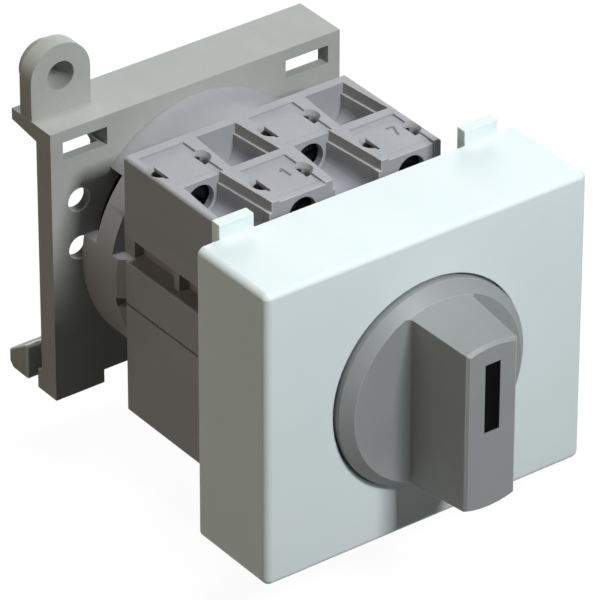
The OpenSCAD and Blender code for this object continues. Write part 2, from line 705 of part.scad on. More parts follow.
module cam(at) color(knob_colour) deep(at) difference() {
    union() {
        translate([0, 0, 0.1]) cylinder(r = journal_r, h = stage_d - 0.2);
        translate([0, 0, mid_depth - cam_t / 2]) linear_extrude(cam_t)
            polygon([for (a = [0 : 4 : 356]) cam_profile(a) * [cos(a), sin(a)]]);
        translate([0, 0, stage_floor + 0.15])
            cylinder(r = journal_r + 0.25, h = stage_inner - stage_floor - 0.3);
    }
    translate([0, 0, -over]) linear_extrude(stage_d + 2 * over) square(shaft_af + 2 * run_gap, center = true);
}

module rear_cam() cam(rear_stage_at);
module front_cam() cam(front_stage_at);

// Square shaft with a turned neck for its clip
clip_at = frame_at + 2.6 + 0.2;
clip_t = 0.8;
neck_r = 2.6;
module square_shaft() color(steel_colour) {
    rear = wheel_rear + 0.7;
    front = cover_front - 1;
    deep(rear) linear_extrude(clip_at - 0.05 - rear) square(shaft_af, center = true);
    deep(clip_at - 0.05 - eps) cylinder(r = neck_r, h = clip_t + 0.1 + 2 * eps, $fn = 48);
    deep(clip_at + clip_t + 0.05) linear_extrude(front - clip_at - clip_t - 0.05)
        square(shaft_af, center = true);
}

clip_ring = 2.4;
clip_mouth = 1.6 * neck_r;
module shaft_clip() color(steel_colour) deep(clip_at) linear_extrude(clip_t) difference() {
    circle(neck_r + clip_ring, $fn = 64);
    circle(neck_r + run_gap, $fn = 64);
    translate([-clip_mouth / 2, -neck_r - clip_ring - over])
        square([clip_mouth, clip_ring + over + neck_r * 0.6]);
}

// Plunger: nose on the cam, head in its guide, stem through bridge and spring
module plunger(at, side) color(knob_colour) deep(at) rotate(side > 0 ? 0 : 180) {
    translate([plunger_root_x, 0, mid_depth - cam_t / 2 - 0.2])
        cylinder(r = nose_r, h = cam_t + 0.4, $fn = 48);
    translate([plunger_root_x, -nose_r, mid_depth - cam_t / 2 - 0.2]) cube([1.2, 2 * nose_r, cam_t + 0.4]);
    translate([plunger_root_x + 1, -plunger_h / 2, stage_floor + slide_gap])
        cube([head_x - plunger_root_x - 1, plunger_h, plunger_t]);
    translate([head_x - eps, -1.8, mid_depth - 1.8]) cube([bridge_x - head_x + eps, 3.6, 3.6]);
    translate([bridge_x - eps, 0, mid_depth]) rotate([0, 90, 0])
        cylinder(r = stem_r, h = stem_end_x - bridge_x, $fn = 32);
}

module bridge(at, side) color(copper_colour) deep(at) rotate(side > 0 ? 0 : 180) difference() {
    union() {
        translate([bridge_x, -bridge_half, mid_depth - bridge_w / 2])
            cube([bridge_t, 2 * bridge_half, bridge_w]);
        for (z = [-1, 1]) translate([bridge_x - tip_t, z * tip_z, mid_depth]) rotate([0, 90, 0])
            cylinder(r = tip_r, h = tip_t + eps, $fn = 32);
    }
    translate([bridge_x - over, 0, mid_depth]) rotate([0, 90, 0])
        cylinder(r = stem_r + seat_gap, h = bridge_t + 2 * over, $fn = 32);
}

module contact_spring(at, side) color(steel_colour) deep(at) rotate(side > 0 ? 0 : 180)
    translate([bridge_x + bridge_t + 0.05, 0, mid_depth]) rotate([0, 90, 0])
        coil(spring_r, spring_wire, spring_seat_x - bridge_x - bridge_t - 0.1, 5);

module rear_left_plunger() plunger(rear_stage_at, -1);
module rear_right_plunger() plunger(rear_stage_at, 1);
module front_left_plunger() plunger(front_stage_at, -1);
module front_right_plunger() plunger(front_stage_at, 1);
module rear_left_bridge() bridge(rear_stage_at, -1);
module rear_right_bridge() bridge(rear_stage_at, 1);
module front_left_bridge() bridge(front_stage_at, -1);
module front_right_bridge() bridge(front_stage_at, 1);
module rear_left_spring() contact_spring(rear_stage_at, -1);
module rear_right_spring() contact_spring(rear_stage_at, 1);
module front_left_spring() contact_spring(front_stage_at, -1);
module front_right_spring() contact_spring(front_stage_at, 1);

// Fixed contact: tongue under the clamp, bar, and a riser that carries the tip
module fixed_contact(side, z) mirror([0, z > 0 ? 0 : 1, 0]) {
    column = terminal_columns[side > 0 ? 1 : 0];
    riser_w = 2 * (mid_depth - tongue_depth);
    difference() {
        translate([0, 0, tongue_depth]) linear_extrude(contact_t) contact_shape(side, column, 0);
        translate([column, terminal_z, tongue_depth - over])
            cylinder(r = terminal_screw_r + run_gap, h = contact_t + 2 * over, $fn = 32);
    }
    translate([side > 0 ? riser_x : -riser_x - contact_t, tip_z - tip_r, tongue_depth])
        cube([contact_t, 2 * tip_r, riser_w]);
    translate([side * (riser_x + contact_t - eps), tip_z, mid_depth]) rotate([0, 90 * side, 0])
        cylinder(r = tip_r, h = tip_t + eps, $fn = 32);
}

module clamp_plate(column, z) translate([column, z * terminal_z, clamp_depth])
    linear_extrude(clamp_t) difference() {
        square([clamp_w, clamp_h], center = true);
        circle(terminal_screw_r + seat_gap, $fn = 32);
    }

module terminal_screw(column, z) translate([column, z * terminal_z, 0]) difference() {
    union() {
        translate([0, 0, tongue_depth - 1.6])
            cylinder(r = terminal_screw_r, h = screw_head_depth - tongue_depth + 1.6 + eps, $fn = 32);
        translate([0, 0, screw_head_depth]) cylinder(r = terminal_head_r, h = screw_head_t, $fn = 48);
    }
    translate([0, 0, screw_head_depth + screw_head_t])
        cube([2 * terminal_head_r + over, 0.6, 1.2], center = true);
}

module fixed_contacts(at, turned) color(copper_colour) deep(at) rotate(turned)
    for (side = [-1, 1], z = [-1, 1]) fixed_contact(side, z);
module clamp_plates(at, turned) color(steel_colour) deep(at) rotate(turned)
    for (column = terminal_columns, z = [-1, 1]) clamp_plate(column, z);
module terminal_screws(at, turned) color(steel_colour) deep(at) rotate(turned)
    for (column = terminal_columns, z = [-1, 1]) terminal_screw(column, z);

module rear_fixed_contacts() fixed_contacts(rear_stage_at, 0);
module front_fixed_contacts() fixed_contacts(front_stage_at, 180);
module rear_clamp_plates() clamp_plates(rear_stage_at, 0);
module front_clamp_plates() clamp_plates(front_stage_at, 180);
module rear_terminal_screws() terminal_screws(rear_stage_at, 0);
module front_terminal_screws() terminal_screws(front_stage_at, 180);

// Frame between the stages and the front cover
frame_t = 2.6;
ring_t = 2;
ring_at = cover_at + 1;
ring_side = 5.4;
module cover_frame() color(housing_colour) difference() {
    ring_w = cover_w - 2 * cover_wall - 2 * slide_gap;
    ring_h = cover_h - 2 * cover_wall - 2 * slide_gap;
    post_x = ring_w / 2 - ring_side - 1;
    union() {
        deep(frame_at) linear_extrude(frame_t) {
            square([2 * post_x + 4, 20], center = true);
            square([8, 2 * (tie_z + tie_head_r + 0.8)], center = true);
        }
        for (x = [-1, 1], z = [-1, 1]) deep(frame_at + frame_t - eps)
            translate([x * post_x, z * 7, 0]) linear_extrude(ring_at - frame_at - frame_t + 2 * eps)
                square([4, 6], center = true);
        deep(ring_at) linear_extrude(ring_t) difference() {
            rounded(ring_w, ring_h, 1);
            square([ring_w - 2 * ring_side, ring_h - 3], center = true);
        }
    }
    deep(frame_at - over) cylinder(r = shaft_af * 0.7072 + turn_gap, h = frame_t + 2 * over);
    for (s = [-1, 1]) deep(frame_at - over) translate([0, s * tie_z, 0])
        cylinder(r = tie_r + seat_gap, h = frame_t + 2 * over, $fn = 32);
}

module tie_screws() color(steel_colour) for (s = [-1, 1]) difference() {
    union() {
        deep(0.1) translate([0, s * tie_z, 0])
            cylinder(r = tie_r, h = frame_at + frame_t - 0.1 + eps, $fn = 32);
        deep(frame_at + frame_t) translate([0, s * tie_z, 0]) cylinder(r = tie_head_r, h = 1.9, $fn = 48);
    }
    deep(frame_at + frame_t + 1.9) translate([0, s * tie_z, 0])
        cube([2 * tie_head_r + over, 0.7, 2], center = true);
}

module tie_nuts() color(steel_colour) for (s = [-1, 1])
    deep(0.05) translate([0, s * tie_z, 0]) rotate(30)
        linear_extrude(plate_t - plate_wall - 0.05) difference() {
            hexagon(nut_af);
            circle(tie_r + run_gap, $fn = 32);
        }

// Front cover: moulded cap with rounded edges, a round recess and rear snap tabs
module cover_body() hull() for (x = [-1, 1], z = [-1, 1]) {
    translate([x * (cover_w / 2 - cover_edge), -cover_front + cover_edge, z * (cover_h / 2 - cover_edge)])
        sphere(cover_edge, $fn = 24);
    deep(cover_at) translate([x * (cover_w / 2 - cover_edge), z * (cover_h / 2 - cover_edge), 0])
        cylinder(r = cover_edge, h = 1, $fn = 24);
}

module front_cover() color(cover_colour) {
    inner_w = cover_w - 2 * cover_wall;
    inner_h = cover_h - 2 * cover_wall;
    difference() {
        union() {
            difference() {
                cover_body();
                deep(cover_at - over) linear_extrude(cover_d - cover_wall + over)
                    rounded(inner_w, inner_h, 0.8);
            }
            deep(cover_front - cover_wall - recess_d)
                cylinder(r = skirt_r + 2, h = recess_d + cover_wall - cover_edge);
            // Stops in front of the frame and catches behind it
            for (x = [-1, 1], z = [-1, 1]) deep(ring_at + ring_t + slide_gap)
                translate([x * (inner_w / 2 - 1.4), z * (inner_h / 2 - 1.4), 0])
                    linear_extrude(cover_front - cover_wall - ring_at - ring_t) square(3.2, center = true);
            for (z = [-1, 1]) deep(cover_at + 0.2) translate([0, z * (inner_h / 2 - 0.1), 0])
                linear_extrude(ring_at - cover_at - 0.3) square([16, 1], center = true);
            for (x = [-1, 1], z = [0, 1]) mirror([0, 0, z]) {
                translate([x * tab_x - tab_w / 2, -cover_at - 1, cover_h / 2 - cover_wall])
                    cube([tab_w, tab_t + 1, cover_wall - 0.1]);
                translate([x * tab_x - tab_w / 2, -cover_at, cover_h / 2 - cover_wall])
                    cube([tab_w, tab_t, cover_wall + tab_rise]);
            }
        }
        deep(cover_front - recess_d) cylinder(r = skirt_r + turn_gap, h = recess_d + over, $fn = 128);
        deep(cover_at) cylinder(r = hub_r + turn_gap, h = cover_d + over);
    }
}

// Knob: one turned shape with the space beside its bar handle cut away, a hub and a square socket
skirt_at = cover_front - recess_d + 0.4;
skirt_front = cover_front + skirt_proud;
hub_at = clip_at + clip_t + 1;
handle_draft = atan((handle_root_w - handle_w) / 2 / (knob_front - skirt_front));

// Section of the space beside the handle, from the handle's root outwards and forwards
module beside_handle() {
    root = handle_root_w / 2;
    high = knob_front - skirt_front + 0.15;
    mid = [root + handle_fillet * (1 / cos(handle_draft) - tan(handle_draft)), handle_fillet];
    steps = 6;
    polygon(concat(
        [for (i = [0 : steps]) let (a = 90 + (handle_draft - 90) * i / steps)
            mid - handle_fillet * [cos(a), sin(a)]],
        [[handle_w / 2 + handle_bevel * tan(handle_draft), high - handle_bevel],
         [handle_w / 2 - handle_bevel - over, high + over],
         [skirt_r + 2, high + over], [skirt_r + 2, 0]]));
}

module knob() color(knob_colour) difference() {
    union() {
        difference() {
            deep(skirt_at) rotate_extrude($fn = 128) polygon([
                [0, 0], [skirt_r, 0], [skirt_r, skirt_front - skirt_at - skirt_bevel],
                [skirt_r - skirt_bevel, skirt_front - skirt_at],
                [handle_l / 2, knob_front - handle_bevel - skirt_at],
                [handle_l / 2 - handle_bevel, knob_front - skirt_at], [0, knob_front - skirt_at]]);
            for (side = [0, 1]) mirror([side, 0, 0]) mirror([0, 1, 0])
                translate([0, skirt_front - 0.15, 0])
                    linear_extrude(2 * skirt_r + 4, center = true) beside_handle();
        }
        deep(hub_at) cylinder(r = hub_r, h = skirt_at - hub_at + eps);
    }
    deep(hub_at - over) linear_extrude(cover_front - hub_at + over)
        square(shaft_af + 2 * seat_gap, center = true);
    deep(knob_front - inlay_d) linear_extrude(inlay_d + over)
        translate([0, inlay_z]) square([inlay_w, inlay_l], center = true);
    deep(hub_at - over) translate([shaft_af / 2 + 0.3, 0, 0])
        linear_extrude(skirt_at - hub_at - 0.5 + over)
            square([2 * (knob_clip_t - seat_gap), knob_clip_w + 2 * seat_gap], center = true);
}

module inlay() color("#0c0c0c") deep(knob_front - inlay_d) linear_extrude(inlay_d - 0.25)
    translate([0, inlay_z]) square([inlay_w - 0.06, inlay_l - 0.06], center = true);

module knob_clip() color(steel_colour) deep(hub_at + 0.3) linear_extrude(skirt_at - hub_at - 1.3)
    translate([shaft_af / 2 + 0.1 + knob_clip_t / 2, 0]) square([knob_clip_t, knob_clip_w], center = true);

base_plate();
rail_latch();
rail_latch_springs();
latch_housing();
detent_wheel();
left_leaf_spring();
right_leaf_spring();
rear_stage_base();
rear_stage_lid();
front_stage_base();
front_stage_lid();
rear_cam();
front_cam();
square_shaft();
shaft_clip();
rear_left_plunger();
rear_right_plunger();
front_left_plunger();
front_right_plunger();
rear_left_bridge();
rear_right_bridge();
front_left_bridge();
front_right_bridge();
rear_left_spring();
rear_right_spring();
front_left_spring();
front_right_spring();
rear_fixed_contacts();
front_fixed_contacts();
rear_clamp_plates();
front_clamp_plates();
rear_terminal_screws();
front_terminal_screws();
tie_screws();
tie_nuts();
cover_frame();
front_cover();
knob();
inlay();
knob_clip();
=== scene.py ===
"""Looks of a changeover cam switch for a 35 mm rail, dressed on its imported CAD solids.

Metres, in the CAD frame: +Y back into the rail, the knob faces -Y, +Z up.
A depth is counted forward from the rail seat, so a depth d lies at y = -d.
"""

import json
import math

import bmesh
import bpy
import numpy as np
from mathutils import Matrix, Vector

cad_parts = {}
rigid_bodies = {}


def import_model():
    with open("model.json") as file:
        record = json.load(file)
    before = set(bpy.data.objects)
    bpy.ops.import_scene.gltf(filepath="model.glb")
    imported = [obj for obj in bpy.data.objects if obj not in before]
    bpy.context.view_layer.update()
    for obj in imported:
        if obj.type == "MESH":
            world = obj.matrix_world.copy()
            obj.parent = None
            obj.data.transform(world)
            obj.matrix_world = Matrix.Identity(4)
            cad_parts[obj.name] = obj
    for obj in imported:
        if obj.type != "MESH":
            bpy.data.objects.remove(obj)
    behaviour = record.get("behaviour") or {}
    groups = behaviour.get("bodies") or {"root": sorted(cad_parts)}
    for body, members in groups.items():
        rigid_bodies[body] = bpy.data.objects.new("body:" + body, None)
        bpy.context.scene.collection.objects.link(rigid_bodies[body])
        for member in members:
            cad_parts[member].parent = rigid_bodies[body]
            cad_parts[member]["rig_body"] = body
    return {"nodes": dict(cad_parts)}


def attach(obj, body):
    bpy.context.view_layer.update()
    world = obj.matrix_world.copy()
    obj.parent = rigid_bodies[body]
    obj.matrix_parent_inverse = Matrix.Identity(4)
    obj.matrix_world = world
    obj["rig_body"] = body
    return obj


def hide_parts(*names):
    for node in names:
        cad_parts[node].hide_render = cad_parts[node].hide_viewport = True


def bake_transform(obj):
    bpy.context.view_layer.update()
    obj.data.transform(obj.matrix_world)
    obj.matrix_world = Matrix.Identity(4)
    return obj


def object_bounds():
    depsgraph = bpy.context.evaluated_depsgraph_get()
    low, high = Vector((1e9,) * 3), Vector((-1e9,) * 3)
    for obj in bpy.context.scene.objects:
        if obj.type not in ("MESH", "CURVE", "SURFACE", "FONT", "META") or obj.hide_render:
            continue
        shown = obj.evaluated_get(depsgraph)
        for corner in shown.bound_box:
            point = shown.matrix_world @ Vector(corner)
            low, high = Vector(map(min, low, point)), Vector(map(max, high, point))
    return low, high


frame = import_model()
cad_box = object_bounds()


# Base plate: one moulding of light grey, glass-filled polyamide that carries everything.
# It hooks over the rail, and the two eyes take screws where there is no rail.
# The tool leaves softly rounded corners and a dull, faintly streaked skin.

MM = 0.001


def linear(srgb_hex):
    """An sRGB hex colour as linear red, green, blue and alpha: c/12.92 when dark, else
    ((c + 0.055) / 1.055) ^ 2.4."""
    c = np.array([int(srgb_hex[i:i + 2], 16) for i in (0, 2, 4)]) / 255
    return (*np.where(c <= 0.04045, c / 12.92, ((c + 0.055) / 1.055) ** 2.4).tolist(), 1.0)


def add(material, kind, inputs=None, **settings):
    """Adds one node to a material or the world, sets its properties, and links or sets its inputs."""
    made = material.node_tree.nodes.new(kind)
    for key, value in settings.items():
        setattr(made, key, value)
    for key, value in (inputs or {}).items():
        if isinstance(value, bpy.types.NodeSocket):
            material.node_tree.links.new(value, made.inputs[key])
        else:
            made.inputs[key].default_value = value
    return made


def new_finish(name):
    """An empty node material with its surface shader."""
    material = bpy.data.materials.new(name)
    material.use_nodes = True
    return material, material.node_tree.nodes["Principled BSDF"]


def moulded(name, tint, shade, roughness, grain_mm, relief_mm, streak_mm, coat=0.0, gloss=0.35):
    """Moulded plastic: tint drifts to shade in soft flow streaks, drawn out from front to back, and the
    spark-eroded grain of the tool roughens the skin and breaks up its gloss. The real grain, 0.05 to
    0.15 mm, is too fine to show, so each grain_mm is two to five times as coarse."""
    material, shader = new_finish(name)
    place = add(material, "ShaderNodeTexCoord").outputs["Object"]
    stretched = add(material, "ShaderNodeMapping", {"Vector": place, "Scale": (1.0, 0.45, 1.0)})
    streak = add(material, "ShaderNodeTexNoise", {
        "Vector": stretched.outputs[0], "Scale": 1 / (streak_mm * MM), "Detail": 5.0, "Roughness": 0.6})
    grain = add(material, "ShaderNodeTexNoise", {
        "Vector": place, "Scale": 1 / (grain_mm * MM), "Detail": 3.0, "Roughness": 0.65})
    body = add(material, "ShaderNodeMix", {0: streak.outputs[0], 6: linear(tint), 7: linear(shade)},
               data_type="RGBA")
    dull = add(material, "ShaderNodeMapRange", {
        0: grain.outputs[0], 1: 0.3, 2: 0.7, 3: roughness - 0.07, 4: roughness + 0.07})
    relief = add(material, "ShaderNodeBump", {
        "Height": grain.outputs[0], "Strength": 0.6, "Distance": relief_mm * MM})
    material.node_tree.links.new(body.outputs[2], shader.inputs["Base Color"])
    material.node_tree.links.new(dull.outputs[0], shader.inputs["Roughness"])
    material.node_tree.links.new(relief.outputs[0], shader.inputs["Normal"])
    shader.inputs["IOR"].default_value = 1.53
    shader.inputs["Specular IOR Level"].default_value = gloss
    shader.inputs["Coat Weight"].default_value = coat
    shader.inputs["Coat Roughness"].default_value = 0.3
    return material


def eased(name, edge_mm, material, edge_highlight=None, rings=2, sharp=32):
    """The CAD node's shape with its corners eased by edge_mm, as a mould leaves them. The loose triangles
    are merged and flat faces joined first, so that only real edges are rounded. The rounded edges take
    the paler edge material where there is one, a painted highlight, and normals weighted by area keep
    the flat faces flat."""
    source = frame["nodes"][name]
    mesh = source.data.copy()
    mesh.name = name + "_eased"
    cells = bmesh.new()
    cells.from_mesh(mesh)
    bmesh.ops.remove_doubles(cells, verts=cells.verts, dist=2e-6)
    bmesh.ops.dissolve_limit(cells, angle_limit=math.radians(0.6), verts=cells.verts, edges=cells.edges)
    cells.to_mesh(mesh)
    cells.free()
    if "custom_normal" in mesh.attributes:
        mesh.attributes.remove(mesh.attributes["custom_normal"])
    mesh.materials.clear()
    mesh.materials.append(material)
    if edge_highlight:
        mesh.materials.append(edge_highlight)
    piece = bpy.data.objects.new(mesh.name, mesh)
    bpy.context.scene.collection.objects.link(piece)
    rounding = piece.modifiers.new("rounding", "BEVEL")
    rounding.width = edge_mm * MM
    rounding.segments = rings
    rounding.limit_method = "ANGLE"
    rounding.angle_limit = math.radians(sharp)
    rounding.use_clamp_overlap = True
    # Bevel faces take the second, paler material: a painted highlight along each rounded edge.
    rounding.material = 1 if edge_highlight else -1
    flat = piece.modifiers.new("flat_faces_stay_flat", "WEIGHTED_NORMAL")
    flat.mode = "FACE_AREA"
    flat.weight = 80
    flat.keep_sharp = True
    mesh.shade_smooth()
    mesh.set_sharp_from_angle(angle=math.radians(sharp))
    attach(piece, source["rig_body"])
    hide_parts(name)


# Glass-filled polyamide is matt and slightly rough, with tone streaks 7 mm apart. Its edges are drawn
# paler, a painted highlight, and are a little smoother from handling.
glass_filled_polyamide = moulded(
    "glass_filled_polyamide", "bdbfb9", "a9aba5", 0.58, 0.40, 0.060, 7.0, gloss=0.08)
highlight_edge_polyamide = moulded("highlight_edge_glass_filled_polyamide", "c4c7bf", "b9bcb4", 0.42, 0.30, 0.010, 7.0)
eased("base_plate", 0.25, glass_filled_polyamide, edge_highlight=highlight_edge_polyamide)


# Rail latch: the same polyamide, a bar with a lip that slides down in the plate to free the rail.
# Two flat zigzag springs of bright wire push it back up.

def metal(name, tint, shade, roughness, brush_mm, stretch=(1, 1, 1)):
    """Bare or plated metal: the marks of the drawing die or press tool, brush_mm apart and drawn out by
    stretch, change its gloss by a quarter either way, and 3 mm patches of bloom change its tone. Real
    marks are too fine to show, so they are drawn ten times as coarse."""
    material, shader = new_finish(name)
    place = add(material, "ShaderNodeTexCoord").outputs["Object"]
    stretched = add(material, "ShaderNodeMapping", {"Vector": place, "Scale": stretch})
    marks = add(material, "ShaderNodeTexNoise", {
        "Vector": stretched.outputs[0], "Scale": 1 / (brush_mm * MM), "Detail": 4.0, "Roughness": 0.7})
    bloom = add(material, "ShaderNodeTexNoise", {"Vector": place, "Scale": 1 / (3 * MM), "Detail": 3.0})
    mixed = add(material, "ShaderNodeMath", {0: marks.outputs[0], 1: bloom.outputs[0]}, operation="MULTIPLY")
    tone = add(material, "ShaderNodeMapRange", {0: mixed.outputs[0], 1: 0.12, 2: 0.42, 3: 0.0, 4: 1.0})
    body = add(material, "ShaderNodeMix", {0: tone.outputs[0], 6: linear(shade), 7: linear(tint)},
               data_type="RGBA")
    gloss = add(material, "ShaderNodeMapRange", {
        0: marks.outputs[0], 1: 0.3, 2: 0.7, 3: roughness * 0.75, 4: roughness * 1.25})
    relief = add(material, "ShaderNodeBump", {
        "Height": marks.outputs[0], "Strength": 0.3, "Distance": 0.01 * MM})
    material.node_tree.links.new(body.outputs[2], shader.inputs["Base Color"])
    material.node_tree.links.new(gloss.outputs[0], shader.inputs["Roughness"])
    material.node_tree.links.new(relief.outputs[0], shader.inputs["Normal"])
    shader.inputs["Metallic"].default_value = 1.0
    return material


def formed(name, grids, material, body, node=None, sharp=40):
    """One mesh from grids of points, each rows by columns by xyz in metres. Neighbouring points make
    four-sided faces, points that meet at seams and poles become one, and the closed skins are turned
    outwards. A piece that names no body is left unattached."""
    points, faces, first = [], [], 0
    for grid in grids:
        rows, columns = grid.shape[:2]
        i = first + (np.arange(rows - 1)[:, None] * columns + np.arange(columns - 1)).ravel()
        faces.append(np.stack([i, i + 1, i + columns + 1, i + columns], -1))
        points.append(grid.reshape(-1, 3))
        first += rows * columns
    mesh = bpy.data.meshes.new(name)
    mesh.from_pydata(np.concatenate(points).tolist(), [], np.concatenate(faces).tolist())
    cells = bmesh.new()
    cells.from_mesh(mesh)
    bmesh.ops.remove_doubles(cells, verts=cells.verts, dist=1e-7)
    bmesh.ops.recalc_face_normals(cells, faces=cells.faces)
    cells.to_mesh(mesh)
    cells.free()
    mesh.materials.append(material)
    mesh.shade_smooth()
    mesh.set_sharp_from_angle(angle=math.radians(sharp))
    piece = bpy.data.objects.new(name, mesh)
    bpy.context.scene.collection.objects.link(piece)
    if body:
        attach(piece, body)
    if node:
        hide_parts(node)
    return piece


def carried(path, across, upward, wide, high, around=14, power=2.0):
    """A rounded section carried along a path: at angle t the skin lies at
    path + across * wide * c + upward * high * s, where c and s are the cosine and sine of t raised to
    2/power with their signs kept. Both ends close to a point."""
    half_width, half_height = across[:, None] * wide, upward[:, None] * high
    t = np.linspace(0, 2 * math.pi, around + 1)
    c, s = (np.sign(f) * np.abs(f) ** (2 / power) for f in (np.cos(t), np.sin(t)))
    grid = path[:, None] + half_width * c[None, :, None] + half_height * s[None, :, None]
    caps = [np.repeat(path[[end], None], around + 1, 1) for end in (0, -1)]
    return np.concatenate([caps[0], grid, caps[1]])


def directions(line):
    """Unit directions along a line of points, from the differences between neighbours."""
    ahead = np.gradient(line, axis=0)
    return ahead / np.linalg.norm(ahead, axis=1, keepdims=True)


# Drawn spring steel is a bright grey, with small marks that break up its gloss.
spring_steel = metal("drawn_spring_steel", "c9cacb", "9c9ea1", 0.28, 0.25)
eased("rail_latch", 0.25, glass_filled_polyamide, edge_highlight=highlight_edge_polyamide)

# Each zigzag is a flat wire 0.58 by 1.08 mm. Its middle lies at x = side * 8.55 - 0.8 * cos(pi * bend)
# and climbs 1.2 mm with each of its six bends.
zigzag_x, zigzag_y, zigzag_low, zigzag_high = 8.55, -0.9, -3.8, 3.4
bend = np.linspace(0, 6, 121)
flat_way = np.tile([0.0, 1.0, 0.0], (bend.size, 1))
for name, side in (("left_zigzag_spring", -1), ("right_zigzag_spring", 1)):
    line = np.stack([side * zigzag_x - 0.8 * np.cos(math.pi * bend), np.full(bend.size, zigzag_y),
                     zigzag_low + (zigzag_high - zigzag_low) / 6 * bend], -1)
    ahead = directions(line)
    sideways = np.stack([-ahead[:, 2], ahead[:, 1], ahead[:, 0]], -1)
    zigzag = formed(name, [MM * carried(line, sideways, flat_way, 0.29, 0.54, power=5.0)],
                    spring_steel, None, "rail_latch_springs")
    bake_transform(zigzag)


# Latch housing and detent: a round can of the stages' own darker polyamide.
# Inside it the acetal star wheel clicks past two leaf springs of polished strip.

def finish_node(name, material):
    """Gives a CAD node's own object a material."""
    mesh = frame["nodes"][name].data
    mesh.materials.clear()
    mesh.materials.append(material)


# The housings' polyamide is a neutral grey, matt, with tone streaks 5 mm apart. Its edges are drawn
# paler, a painted highlight that draws a thin light line round each wall.
housing_polyamide = moulded("grey_housing_polyamide", "b0b0b3", "9e9ea1", 0.52, 0.36, 0.055, 5.0, gloss=0.14)
highlight_edge_housing = moulded("highlight_edge_housing_polyamide", "bbbbbe", "b1b1b3", 0.4, 0.26, 0.009, 5.0)
# Natural acetal is off-white and waxy, with a soft sheen.
natural_acetal = moulded("natural_acetal", "d8d6cc", "cfccc0", 0.36, 0.5, 0.006, 6.0, coat=0.15)
eased("latch_housing", 0.3, housing_polyamide, edge_highlight=highlight_edge_housing)
eased("detent_wheel", 0.12, natural_acetal)
finish_node("left_leaf_spring", spring_steel)
finish_node("right_leaf_spring", spring_steel)


# Shade washer: black felt 0.3 mm thick, laid on the base plate inside the detent housing.
# It is painted shade: a black ring put where the housing's side windows show only shadow.

def washer(hole, rim, height, swell):
    """A flat ring turned about the shaft: its section at angle t is a rounded rectangle with half sizes
    (rim - hole) / 2 and height / 2, drawn with the cosine and sine raised to 0.35, and its height swells
    and sinks in eleven waves round the ring."""
    t, turn = np.meshgrid(np.linspace(0, 2 * math.pi, 25), np.linspace(0, 2 * math.pi, 181))
    c, s = (np.sign(f) * np.abs(f) ** 0.35 for f in (np.cos(t), np.sin(t)))
    r = (hole + rim) / 2 + (rim - hole) / 2 * c
    w = height / 2 * (1 + s * (1 + swell * np.sin(11 * turn)))
    return np.stack([r * np.cos(turn), r * np.sin(turn), w], -1)


# Black wool felt has no gloss. Its hairs, drawn coarser than they are at 0.12 mm, lift the black a little.
painted_shade_felt, shader = new_finish("painted_shade_black_felt")
place = add(painted_shade_felt, "ShaderNodeTexCoord").outputs["Object"]
hairs = add(painted_shade_felt, "ShaderNodeTexNoise", {"Vector": place, "Scale": 1 / (0.12 * MM), "Detail": 6.0})
nap = add(painted_shade_felt, "ShaderNodeMix", {0: hairs.outputs[0], 6: linear("0c0c0c"), 7: linear("1a1a19")},
          data_type="RGBA")
pile = add(painted_shade_felt, "ShaderNodeBump", {"Height": hairs.outputs[0], "Strength": 0.8, "Distance": 0.05 * MM})
painted_shade_felt.node_tree.links.new(nap.outputs[2], shader.inputs["Base Color"])
painted_shade_felt.node_tree.links.new(pile.outputs[0], shader.inputs["Normal"])
shader.inputs["Roughness"].default_value = 0.95
shader.inputs["Specular IOR Level"].default_value = 0.1
washer_depth, washer_hole, washer_rim, washer_height = 3.41, 14.2, 17.1, 0.3
ring = washer(washer_hole, washer_rim, washer_height, 0.06)
# A black ring of painted shade, seen through the housing's side windows.
formed("black_shade_washer", [MM * np.stack([ring[..., 0], -washer_depth - ring[..., 2], ring[..., 1]], -1)],
       painted_shade_felt, "housing")


# Contact stages: two like mouldings of grey polyamide, one turned half round, each closed by its lid.
# The tool's grain dulls the walls, and the edges are drawn paler, a painted highlight.

# The depth of each stage's back face.
stage_depth = {"rear": 12.4, "front": 22.9}
for stage in stage_depth:
    eased(stage + "_stage_base", 0.22, housing_polyamide, edge_highlight=highlight_edge_housing)
    eased(stage + "_stage_lid", 0.15, housing_polyamide, edge_highlight=highlight_edge_housing)


# Terminal numbers: plain raised numerals 2.1 mm tall, moulded on the front stage's four roof pads.
# They stand 0.15 mm proud and catch the light on their rounded tops.

# Each figure's bends, in a box 0.6 wide and 1 tall.
numeral_strokes = {
    "1": [(0.05, 0.74), (0.32, 1.0), (0.32, 0.0)],
    "2": [(0.04, 0.74), (0.1, 0.92), (0.3, 1.0), (0.5, 0.92), (0.56, 0.72), (0.48, 0.52), (0.04, 0.0),
          (0.6, 0.0)],
    "7": [(0.04, 1.0), (0.58, 1.0), (0.24, 0.0)],
    "8": [(0.3, 0.54), (0.12, 0.62), (0.06, 0.78), (0.12, 0.94), (0.3, 1.0), (0.48, 0.94), (0.54, 0.78),
          (0.48, 0.62), (0.3, 0.54), (0.1, 0.44), (0.02, 0.26), (0.1, 0.06), (0.3, 0.0), (0.5, 0.06),
          (0.58, 0.26), (0.5, 0.44), (0.3, 0.54)]}
numeral_tall, stroke_half, stroke_proud = 2.1, 0.2, 0.15
numeral_depth, roof_z = 27.8, 19.75


